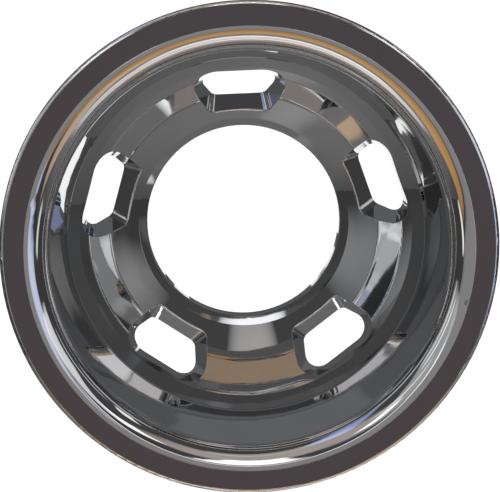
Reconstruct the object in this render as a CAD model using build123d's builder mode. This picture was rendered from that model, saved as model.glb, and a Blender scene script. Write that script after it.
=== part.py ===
import math
import os

from build123d import *

# A deep-drawn wheel liner in one sheet. The axis is Y, the open face looks to -Y, +Z is up and the
# origin lies on the axis inside the centre collar. Millimetres and degrees. Widths run outwards from
# the hub hole and drops run back from the lip, each from the bend before it.

sheet = 1.0

hub_hole_radius = 102.5
hub_roll_width = 8.2
cone_width = 25.4
crown_width = 19.5
gutter_width = 7.4
shoulder_width = 9.0
barrel_width = 7.0
lip_width = 40.0

barrel_drop = 94.6
shoulder_drop = 20.1
gutter_drop = 14.6
crown_drop = 21.3
cone_drop = 43.9
hub_roll_drop = 11.5
collar_length = 15.0
bore_inset = 6.5

edge_bend = 3.0
lip_bend = 20.0
barrel_bend = 9.5
shoulder_bend = 9.0
gutter_bend = 11.0
crown_bend = 24.0
cone_bend = 9.5
hub_bend = 7.0

hem_drop = 7.5
hem_width = 6.0
band_edge_gap = 3.5
band_width = 18.0
band_recess = 0.4

hand_hole_count = 5
hole_rise = 4.0
hole_run = 51.0
sill_set_in = 16.4
sill_slope = 40.0
sill_length = 21.4
throat_drop = 10.0
mouth_reach = 21.4
mouth_sill_width = 63.0
mouth_sill_corner = 10.0
mouth_top_corner = 28.0
mouth_bend = 1.2
rear_sill_width = 51.0
rear_sill_corner = 8.0
rear_top_corner = 12.0
side_flare = 16.7

cone_radius = hub_hole_radius + hub_roll_width
crown_radius = cone_radius + cone_width
gutter_radius = crown_radius + crown_width
shoulder_radius = gutter_radius + gutter_width
barrel_radius = shoulder_radius + shoulder_width
lip_radius = barrel_radius + barrel_width
edge_radius = lip_radius + lip_width

shoulder_depth = barrel_drop + shoulder_drop
gutter_depth = shoulder_depth + gutter_drop
crown_depth = gutter_depth + crown_drop
cone_depth = crown_depth + cone_drop
hub_depth = cone_depth + hub_roll_drop
lip_y = -hub_depth - bore_inset


# The front face of the sheet, from the tail of the hem to the end of the collar.
front_points = [
    (edge_radius - hem_width, lip_y + hem_drop),
    (edge_radius, lip_y + hem_drop),
    (edge_radius, lip_y),
    (lip_radius, lip_y),
    (barrel_radius, lip_y + barrel_drop),
    (shoulder_radius, lip_y + shoulder_depth),
    (gutter_radius, lip_y + gutter_depth),
    (crown_radius, lip_y + crown_depth),
    (cone_radius, lip_y + cone_depth),
    (hub_hole_radius, lip_y + hub_depth),
    (hub_hole_radius, lip_y + hub_depth + collar_length),
]
front_bends = [
    edge_bend,
    edge_bend,
    lip_bend,
    barrel_bend,
    shoulder_bend,
    gutter_bend,
    crown_bend,
    cone_bend,
    hub_bend,
]

# The profile is drawn straight down from the axis, so its seam runs between two hand holes.
profile_plane = Plane((0, 0, 0), x_dir=(0, 0, -1), z_dir=(1, 0, 0))

with BuildPart() as bowl:
    with BuildSketch(profile_plane):
        with BuildLine():
            front = FilletPolyline(*front_points, radius=front_bends)
            offset(front, amount=sheet, side=Side.RIGHT)
        make_face()
    revolve(axis=Axis.Y)
    with BuildSketch(profile_plane):
        with Locations((edge_radius - band_edge_gap - band_width / 2, lip_y)):
            Rectangle(band_width, 2 * band_recess)
    revolve(axis=Axis.Y, mode=Mode.SUBTRACT)

# The space behind the front face, from the barrel in.
with BuildPart() as behind:
    with BuildSketch(profile_plane):
        with BuildLine():
            well = FilletPolyline(*front_points[3:], radius=front_bends[3:])
            Polyline(well @ 1, (edge_radius, (well @ 1).Y), (edge_radius, lip_y), well @ 0)
        make_face()
    revolve(axis=Axis.Y)

# The hole at the top is drawn back from a mouth in front of the sheet. Its upper wall runs along the axis,
# and its sill lies across the cone and slopes back as it goes outwards. The throat ends the flange.
hole_top = gutter_radius + hole_rise
sill_depth = crown_depth + sill_set_in * cone_drop / cone_width
sill_front = Vector(0, lip_y + sill_depth, crown_radius - sill_set_in)
sill_run = Vector(0, math.sin(math.radians(sill_slope)), math.cos(math.radians(sill_slope)))
sill_back = sill_run.cross(Vector(1, 0, 0))

mouth_foot = sill_front - sill_run * mouth_reach
mouth_top = Vector(0, lip_y + barrel_drop, hole_top)
throat_foot = sill_front + sill_run * sill_length
throat_top = Vector(0, lip_y + gutter_depth + throat_drop, hole_top)


def across(foot, top):
    return Plane((foot + top) / 2, x_dir=(1, 0, 0), z_dir=(top - foot).cross(Vector(1, 0, 0)))


# One section of the hole, wider at its top than at its sill.
def section(foot, top, sill_width, sill_corner, top_corner):
    reach = (top - foot).length / 2
    half_sill = sill_width / 2
    half_top = half_sill + 2 * reach * math.tan(math.radians(side_flare))
    with BuildSketch(across(foot, top)) as outline:
        Polygon((-half_top, -reach), (half_top, -reach), (half_sill, reach), (-half_sill, reach))
        fillet(outline.vertices().group_by(Axis.Y)[-1], sill_corner)
        fillet(outline.vertices().group_by(Axis.Y)[0], top_corner)
    return outline.sketch


def drawn_hole(wall):
    foot = mouth_foot + sill_back * wall
    top = mouth_top + Vector(0, 0, wall)
    mouth_plane = across(foot, top)
    rear_foot = foot + sill_run * hole_run / sill_run.dot(mouth_plane.z_dir)
    rear_top = top + Vector(0, hole_run, 0) / mouth_plane.z_dir.Y
    mouth = section(foot, top, mouth_sill_width + 2 * wall, mouth_sill_corner + wall, mouth_top_corner + wall)
    rear = section(rear_foot, rear_top, rear_sill_width + 2 * wall, rear_sill_corner + wall, rear_top_corner + wall)
    with BuildPart() as hole:
        loft([mouth.face(), rear.face()], ruled=True)
    return hole.part


window = drawn_hole(0)

with BuildPart() as flange:
    add(drawn_hole(sheet))
    add(window, mode=Mode.SUBTRACT)
    add(Pos(0, sheet / 2, 0) * behind.part, mode=Mode.INTERSECT)
    split(bisect_by=across(throat_foot, throat_top), keep=Keep.BOTTOM)


def on_mouth(edge):
    middle = edge @ 0.5
    off_front = well.distance_to(Vector(math.hypot(middle.X, middle.Z), middle.Y))
    return edge.geom_type not in (GeomType.LINE, GeomType.CIRCLE) and off_front < 0.01


with BuildPart() as wheel_liner:
    add(bowl.part)
    for index in range(hand_hole_count):
        turn = Rot(0, index * 360 / hand_hole_count, 0)
        add(turn * window, mode=Mode.SUBTRACT)
        add(turn * flange.part)
    # The drawn metal bends over the front edge of each hole.
    fillet(wheel_liner.edges().filter_by(on_mouth), mouth_bend)

wheel_liner.part.label = "wheel_liner"
os.makedirs("parts", exist_ok=True)
export_step(wheel_liner.part, "parts/wheel_liner.step")
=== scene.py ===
import math

import bpy
from mathutils import Matrix, Vector

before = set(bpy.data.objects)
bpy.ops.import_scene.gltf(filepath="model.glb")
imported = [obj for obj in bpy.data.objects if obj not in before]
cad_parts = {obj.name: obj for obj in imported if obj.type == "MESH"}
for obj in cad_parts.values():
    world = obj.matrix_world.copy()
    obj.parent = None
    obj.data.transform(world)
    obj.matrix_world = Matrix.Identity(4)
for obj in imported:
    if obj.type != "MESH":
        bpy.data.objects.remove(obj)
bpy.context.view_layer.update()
scene = bpy.context.scene
scene.view_settings.view_transform = "Standard"
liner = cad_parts["wheel_liner"]
print("frame loaded")


def addNode(tree, kind, **settings):
    node = tree.nodes.new(kind)
    for name, value in settings.items():
        setattr(node, name, value)
    return node


def feed(tree, socket, value):  # value is another socket or a plain number or colour
    if isinstance(value, bpy.types.NodeSocket):
        tree.links.new(value, socket)
    else:
        socket.default_value = value


def maths(tree, operation, first, second=0.0):
    node = addNode(tree, "ShaderNodeMath", operation=operation)
    feed(tree, node.inputs[0], first)
    feed(tree, node.inputs[1], second)
    return node.outputs[0]


def blendColours(tree, factor, first, second):
    node = addNode(tree, "ShaderNodeMix", data_type="RGBA")
    feed(tree, node.inputs["Factor"], factor)
    feed(tree, node.inputs[6], first)  # 6 and 7 are the colour sockets A and B
    feed(tree, node.inputs[7], second)
    return node.outputs[2]


def noise(tree, place, scale, detail, low, high):
    cloud = addNode(tree, "ShaderNodeTexNoise")
    feed(tree, cloud.inputs["Vector"], place)
    cloud.inputs["Scale"].default_value = scale
    cloud.inputs["Detail"].default_value = detail
    spread = addNode(tree, "ShaderNodeMapRange")  # most of the noise lies between 0.3 and 0.7
    feed(tree, spread.inputs["Value"], cloud.outputs[0])
    for name, value in (("From Min", 0.3), ("From Max", 0.7), ("To Min", low), ("To Max", high)):
        spread.inputs[name].default_value = value
    return spread.outputs["Result"]


# Polished steel, a little wavy as drawn sheet is. Wave and grain heights are in metres.
steelLook = {
    "clean": (0.585, 0.59, 0.595, 1), "hazy": (0.55, 0.555, 0.565, 1), "hazeScale": 22, "hazeDetail": 3,
    "smooth": 0.018, "dull": 0.05, "dullScale": 30, "dullDetail": 4,
    "wave": 0.00012, "waveScale": 20, "waveDetail": 0,
}
# A dark, rough, non-metal band round the lip, between two radii and in front of a plane across the wheel
# axis.
bandLook = {
    "inner": 0.1977, "outer": 0.2153, "front": -0.21195,
    "dark": (0.070, 0.061, 0.074, 1), "light": (0.083, 0.073, 0.087, 1),
    "smooth": 0.5, "dull": 0.6,
    "grain": 0.00004, "grainScale": 900, "grainDetail": 2,
}


def bandMask(tree, place):
    axes = addNode(tree, "ShaderNodeSeparateXYZ")
    feed(tree, axes.inputs[0], place)
    x, y, z = axes.outputs
    squares = maths(tree, "ADD", maths(tree, "MULTIPLY", x, x), maths(tree, "MULTIPLY", z, z))
    radius = maths(tree, "SQRT", squares)
    pastInner = maths(tree, "GREATER_THAN", radius, bandLook["inner"])
    insideOuter = maths(tree, "LESS_THAN", radius, bandLook["outer"])
    onFront = maths(tree, "LESS_THAN", y, bandLook["front"])
    return maths(tree, "MULTIPLY", maths(tree, "MULTIPLY", pastInner, insideOuter), onFront)


def linerMaterial():
    material = bpy.data.materials.new("polishedSteel")
    material.use_nodes = True
    tree = material.node_tree
    shader = tree.nodes["Principled BSDF"]
    place = addNode(tree, "ShaderNodeTexCoord").outputs["Object"]
    band = bandMask(tree, place)
    steel = maths(tree, "SUBTRACT", 1, band)

    def eitherFinish(steelValue, bandValue):
        return maths(tree, "ADD", maths(tree, "MULTIPLY", steelValue, steel),
                     maths(tree, "MULTIPLY", bandValue, band))

    # colour
    haze = noise(tree, place, steelLook["hazeScale"], steelLook["hazeDetail"], 0, 1)
    grain = noise(tree, place, bandLook["grainScale"], bandLook["grainDetail"], 0, 1)
    steelTone = blendColours(tree, haze, steelLook["clean"], steelLook["hazy"])
    bandTone = blendColours(tree, grain, bandLook["dark"], bandLook["light"])
    feed(tree, shader.inputs["Base Color"], blendColours(tree, band, steelTone, bandTone))
    feed(tree, shader.inputs["Metallic"], steel)

    # gloss
    polish = noise(tree, place, steelLook["dullScale"], steelLook["dullDetail"],
                   steelLook["smooth"], steelLook["dull"])
    satinSpread = maths(tree, "MULTIPLY", grain, bandLook["dull"] - bandLook["smooth"])
    satin = maths(tree, "ADD", bandLook["smooth"], satinSpread)
    feed(tree, shader.inputs["Roughness"], eitherFinish(polish, satin))

    # faint waves in the steel, fine grain in the band
    wave = noise(tree, place, steelLook["waveScale"], steelLook["waveDetail"], 0, steelLook["wave"])
    speck = maths(tree, "MULTIPLY", grain, bandLook["grain"])
    bump = addNode(tree, "ShaderNodeBump")
    bump.inputs["Distance"].default_value = 1
    feed(tree, bump.inputs["Height"], eitherFinish(wave, speck))
    feed(tree, shader.inputs["Normal"], bump.outputs[0])
    return material


liner.material_slots[0].material = linerMaterial()
print("material done")


# The camera stands in front and a little above, turned with its aim about the wheel axis.
view = {
    "stand": (-0.0372, -1.1125, 0.1653), "aim": (-0.0015, -0.2125, 0.0095), "spin": 2.4,
    "lens": 75.55, "sensor": 36,
}
camera = bpy.data.cameras.new("camera")
camera.lens = view["lens"]
camera.sensor_width = view["sensor"]
viewer = bpy.data.objects.new("camera", camera)
spin = Matrix.Rotation(math.radians(view["spin"]), 4, "Y")
stand = spin @ Vector(view["stand"])
forward = (spin @ Vector(view["aim"]) - stand).normalized()
sideways = forward.cross(spin @ Vector((0, 0, 1))).normalized()
facing = Matrix((sideways, sideways.cross(forward), -forward)).transposed()
viewer.matrix_world = Matrix.Translation(stand) @ facing.to_4x4()
scene.collection.objects.link(viewer)
scene.camera = viewer
print("camera done")


# A pale floor well below, and two white sheets far behind, square to the view: a disc behind the openings
# and a square with a round gap behind the rim. Sheet sizes are per metre away from the camera.
stage = {
    "floorHeight": -2.8, "floorReach": 6.0, "floorEnd": 5.0, "floorTone": (0.80, 0.80, 0.79),
    "sheetAway": 12.0, "sheetTone": (1, 1, 1), "turns": 96,
    "discRadius": 0.174, "discRight": -0.005, "discUp": 0.023,
    "gapRadius": 0.229, "squareHalf": 0.244,
}


def stageSheet(name, corners, faces, tone, glow):
    mesh = bpy.data.meshes.new(name)
    mesh.from_pydata(corners, [], faces)
    sheet = bpy.data.objects.new(name, mesh)
    scene.collection.objects.link(sheet)
    material = bpy.data.materials.new(name)
    material.use_nodes = True
    shader = material.node_tree.nodes["Principled BSDF"]
    shader.inputs["Base Color"].default_value = (*tone, 1)
    shader.inputs["Roughness"].default_value = 0.8
    shader.inputs["Emission Color"].default_value = (*tone, 1)
    shader.inputs["Emission Strength"].default_value = glow
    mesh.materials.append(material)


def facingLoop(size, right=0, up=0, square=False):
    loop = []
    for step in range(stage["turns"]):
        angle = 2 * math.pi * step / stage["turns"]
        across, above = math.cos(angle), math.sin(angle)
        span = size / max(abs(across), abs(above)) if square else size
        point = Vector((right + span * across, up + span * above, -1))
        loop.append(viewer.matrix_world @ (stage["sheetAway"] * point))
    return loop


reach, end, low = stage["floorReach"], stage["floorEnd"], stage["floorHeight"]
floorCorners = [(-reach, -reach, low), (reach, -reach, low), (reach, end, low), (-reach, end, low)]
stageSheet("floor", floorCorners, [(0, 1, 2, 3)], stage["floorTone"], 0)

disc = facingLoop(stage["discRadius"], stage["discRight"], stage["discUp"])
stageSheet("backDisc", disc, [range(len(disc))], stage["sheetTone"], 1)

gap = facingLoop(stage["gapRadius"])
edge = facingLoop(stage["squareHalf"], square=True)
count = len(gap)
quads = [(step, (step + 1) % count, count + (step + 1) % count, count + step) for step in range(count)]
stageSheet("backFrame", gap + edge, quads, stage["sheetTone"], 1)

# A dim grey world, a little paler overhead: height from 0, straight down, to 1, straight up.
worldTones = {0.0: 0.065, 0.5: 0.065, 0.75: 0.085, 0.98: 0.08}
coolness = 1.02
world = bpy.data.worlds.new("studio")
scene.world = world
world.use_nodes = True
sky = world.node_tree
direction = addNode(sky, "ShaderNodeSeparateXYZ")
feed(sky, direction.inputs[0], addNode(sky, "ShaderNodeTexCoord").outputs["Generated"])
ramp = addNode(sky, "ShaderNodeValToRGB")
feed(sky, ramp.inputs[0], maths(sky, "ADD", maths(sky, "MULTIPLY", direction.outputs[2], 0.5), 0.5))
rampStops = ramp.color_ramp.elements
rampStops.remove(rampStops[1])
for height, tone in worldTones.items():
    stop = rampStops.new(height) if height else rampStops[0]
    stop.color = (tone, tone, tone * coolness, 1)
feed(sky, sky.nodes["Background"].inputs["Color"], ramp.outputs[0])
print("stage done")


# Soft boxes hang on a ball around the part, or just above the floor. Their places and sizes are in degrees:
# azimuth 0 is behind the part, 90 to its right and 180 in front. A box of level 1 looks white.
hang = {"centre": Vector((0, -0.16, 0.06)), "radius": 4.8, "overFloor": 0.1}
white = (1, 1, 1)


def fadeEdges(tree, edge):  # the higher edge is, the crisper the box's outline
    spot = addNode(tree, "ShaderNodeSeparateXYZ")
    feed(tree, spot.inputs[0], addNode(tree, "ShaderNodeNewGeometry").outputs["Parametric"])
    fades = []
    for place in spot.outputs[:2]:
        offset = maths(tree, "ABSOLUTE", maths(tree, "SUBTRACT", maths(tree, "MULTIPLY", place, 2), 1))
        fades.append(maths(tree, "SUBTRACT", 1, maths(tree, "POWER", offset, edge)))
    feed(tree, tree.nodes["Emission"].inputs["Strength"], maths(tree, "MULTIPLY", *fades))


def softBox(name, at, size, tint, level, edge=5):
    azimuth, elevation = (math.radians(angle) for angle in at)
    flat = math.cos(elevation)
    way = Vector((math.sin(azimuth) * flat, math.cos(azimuth) * flat, math.sin(elevation)))
    away = hang["radius"]
    if elevation < 0:
        drop = hang["centre"].z - stage["floorHeight"] - hang["overFloor"]
        away = min(away, drop / math.sin(-elevation))
    lamp = bpy.data.lights.new(name, "AREA")
    lamp.shape = "RECTANGLE"
    lamp.size, lamp.size_y = (2 * away * math.tan(math.radians(angle / 2)) for angle in size)
    lamp.color = tint
    lamp.energy = level * math.pi * lamp.size * lamp.size_y
    lamp.use_nodes = True
    fadeEdges(lamp.node_tree, edge)
    box = bpy.data.objects.new(name, lamp)
    box.location = hang["centre"] + away * way
    box.rotation_euler = way.to_track_quat("Z", "Y").to_euler()
    box.visible_camera = False
    scene.collection.objects.link(box)


# in front and low: the warm and white rings on the upper roll
softBox("amberLow", at=(-166, -28), size=(56, 24), tint=(1.0, 0.50, 0.10), level=0.62, edge=8)
softBox("amberUnder", at=(180, -70), size=(70, 12), tint=(1.0, 0.55, 0.15), level=0.42)
softBox("amberSide", at=(-86, -52), size=(16, 10), tint=(1.0, 0.60, 0.25), level=0.50)
softBox("pinkLow", at=(152, -32), size=(28, 20), tint=(1.0, 0.64, 0.42), level=0.62, edge=8)
softBox("whiteLow", at=(-178, -55), size=(76, 17), tint=(1.0, 0.95, 0.97), level=0.8, edge=8)
softBox("stripLow", at=(180, -62), size=(84, 6), tint=white, level=1.1, edge=8)
softBox("stripFar", at=(-174, -47), size=(42, 6), tint=(1.0, 0.92, 0.82), level=1.0, edge=8)

# in front and level: the lower roll
softBox("lavender", at=(157, -9), size=(32, 15), tint=(0.62, 0.70, 1.0), level=0.85, edge=8)
softBox("frontWhite", at=(140, 6), size=(34, 20), tint=white, level=1.0, edge=8)
softBox("frontGrey", at=(-176, -6), size=(84, 20), tint=(1.0, 0.95, 0.94), level=0.30, edge=8)
softBox("frontStrip", at=(-178, 2), size=(46, 2.5), tint=white, level=1.2, edge=8)
softBox("frontRight", at=(152, 20), size=(11, 14), tint=white, level=1.6, edge=8)
softBox("frontMiddle", at=(177, 19), size=(12, 27), tint=white, level=1.8, edge=8)
softBox("frontLeft", at=(-157, 21), size=(12, 9), tint=white, level=1.7, edge=8)

# in front and high: the bands between the hand holes
softBox("warmHigh", at=(-178, 42), size=(70, 38), tint=(1.0, 0.85, 0.76), level=0.5)
softBox("warmTop", at=(-168, 62), size=(50, 16), tint=(1.0, 0.92, 0.75), level=0.4)
softBox("blueHigh", at=(-122, 58), size=(32, 22), tint=(0.40, 0.52, 1.0), level=0.85)

# at the sides: glints on the holes' flanges and the shoulder
softBox("rightHigh", at=(114, 38), size=(13, 9), tint=(1.0, 1.0, 0.9), level=1.4, edge=8)
softBox("rightLow", at=(124, -19), size=(11, 13), tint=(0.97, 1.0, 0.95), level=1.0)
softBox("rightBar", at=(112, 18), size=(4, 26), tint=(0.95, 0.98, 1.0), level=0.9)
softBox("rightSide", at=(90, 36), size=(16, 34), tint=(1.0, 0.98, 0.96), level=0.8, edge=4)
softBox("leftLow", at=(-131, -15), size=(9, 13), tint=(1.0, 1.0, 0.9), level=1.4)
softBox("leftGrey", at=(-136, 14), size=(66, 32), tint=(0.98, 0.99, 1.0), level=0.46, edge=8)
softBox("leftBar", at=(-113, 13), size=(4, 30), tint=(0.97, 0.99, 1.0), level=1.0)
softBox("leftBarMiddle", at=(-128, 12), size=(4, 22), tint=white, level=1.3)
softBox("leftBarFront", at=(-144, 24), size=(4, 26), tint=(1.0, 0.97, 0.94), level=0.8)
softBox("leftSide", at=(-90, 36), size=(16, 34), tint=(0.97, 0.99, 1.0), level=0.8, edge=4)

# behind: the dim walls of the barrel and the hub cone
softBox("rear", at=(0, 4), size=(124, 70), tint=(0.96, 0.99, 1.0), level=0.05, edge=3)
softBox("rearLow", at=(0, -58), size=(110, 34), tint=(1.0, 0.99, 0.97), level=0.05, edge=2)
softBox("rearStrip", at=(-30, -54), size=(40, 10), tint=(1.0, 1.0, 0.97), level=0.16, edge=2)
softBox("rearHigh", at=(4, 25), size=(90, 12), tint=(0.92, 1.0, 1.02), level=0.06, edge=10)
softBox("rearTop", at=(4, 40), size=(90, 14), tint=(0.92, 1.0, 1.02), level=0.08, edge=10)
softBox("rearLeft", at=(-68, 8), size=(12, 50), tint=(0.97, 0.99, 1.0), level=0.26, edge=2)
softBox("rearRight", at=(69, 8), size=(11, 48), tint=(1.0, 0.97, 0.95), level=0.32, edge=2)
softBox("rearSpot", at=(67, -36), size=(5, 10), tint=(0.92, 0.95, 1.0), level=0.9)

# below and above: the line on the hub's roll and the patch between the lower holes
softBox("under", at=(0, -82), size=(56, 6), tint=white, level=2.6)
softBox("overhead", at=(0, 75), size=(28, 10), tint=(1.0, 0.97, 0.93), level=0.5, edge=4)
print("lights done")
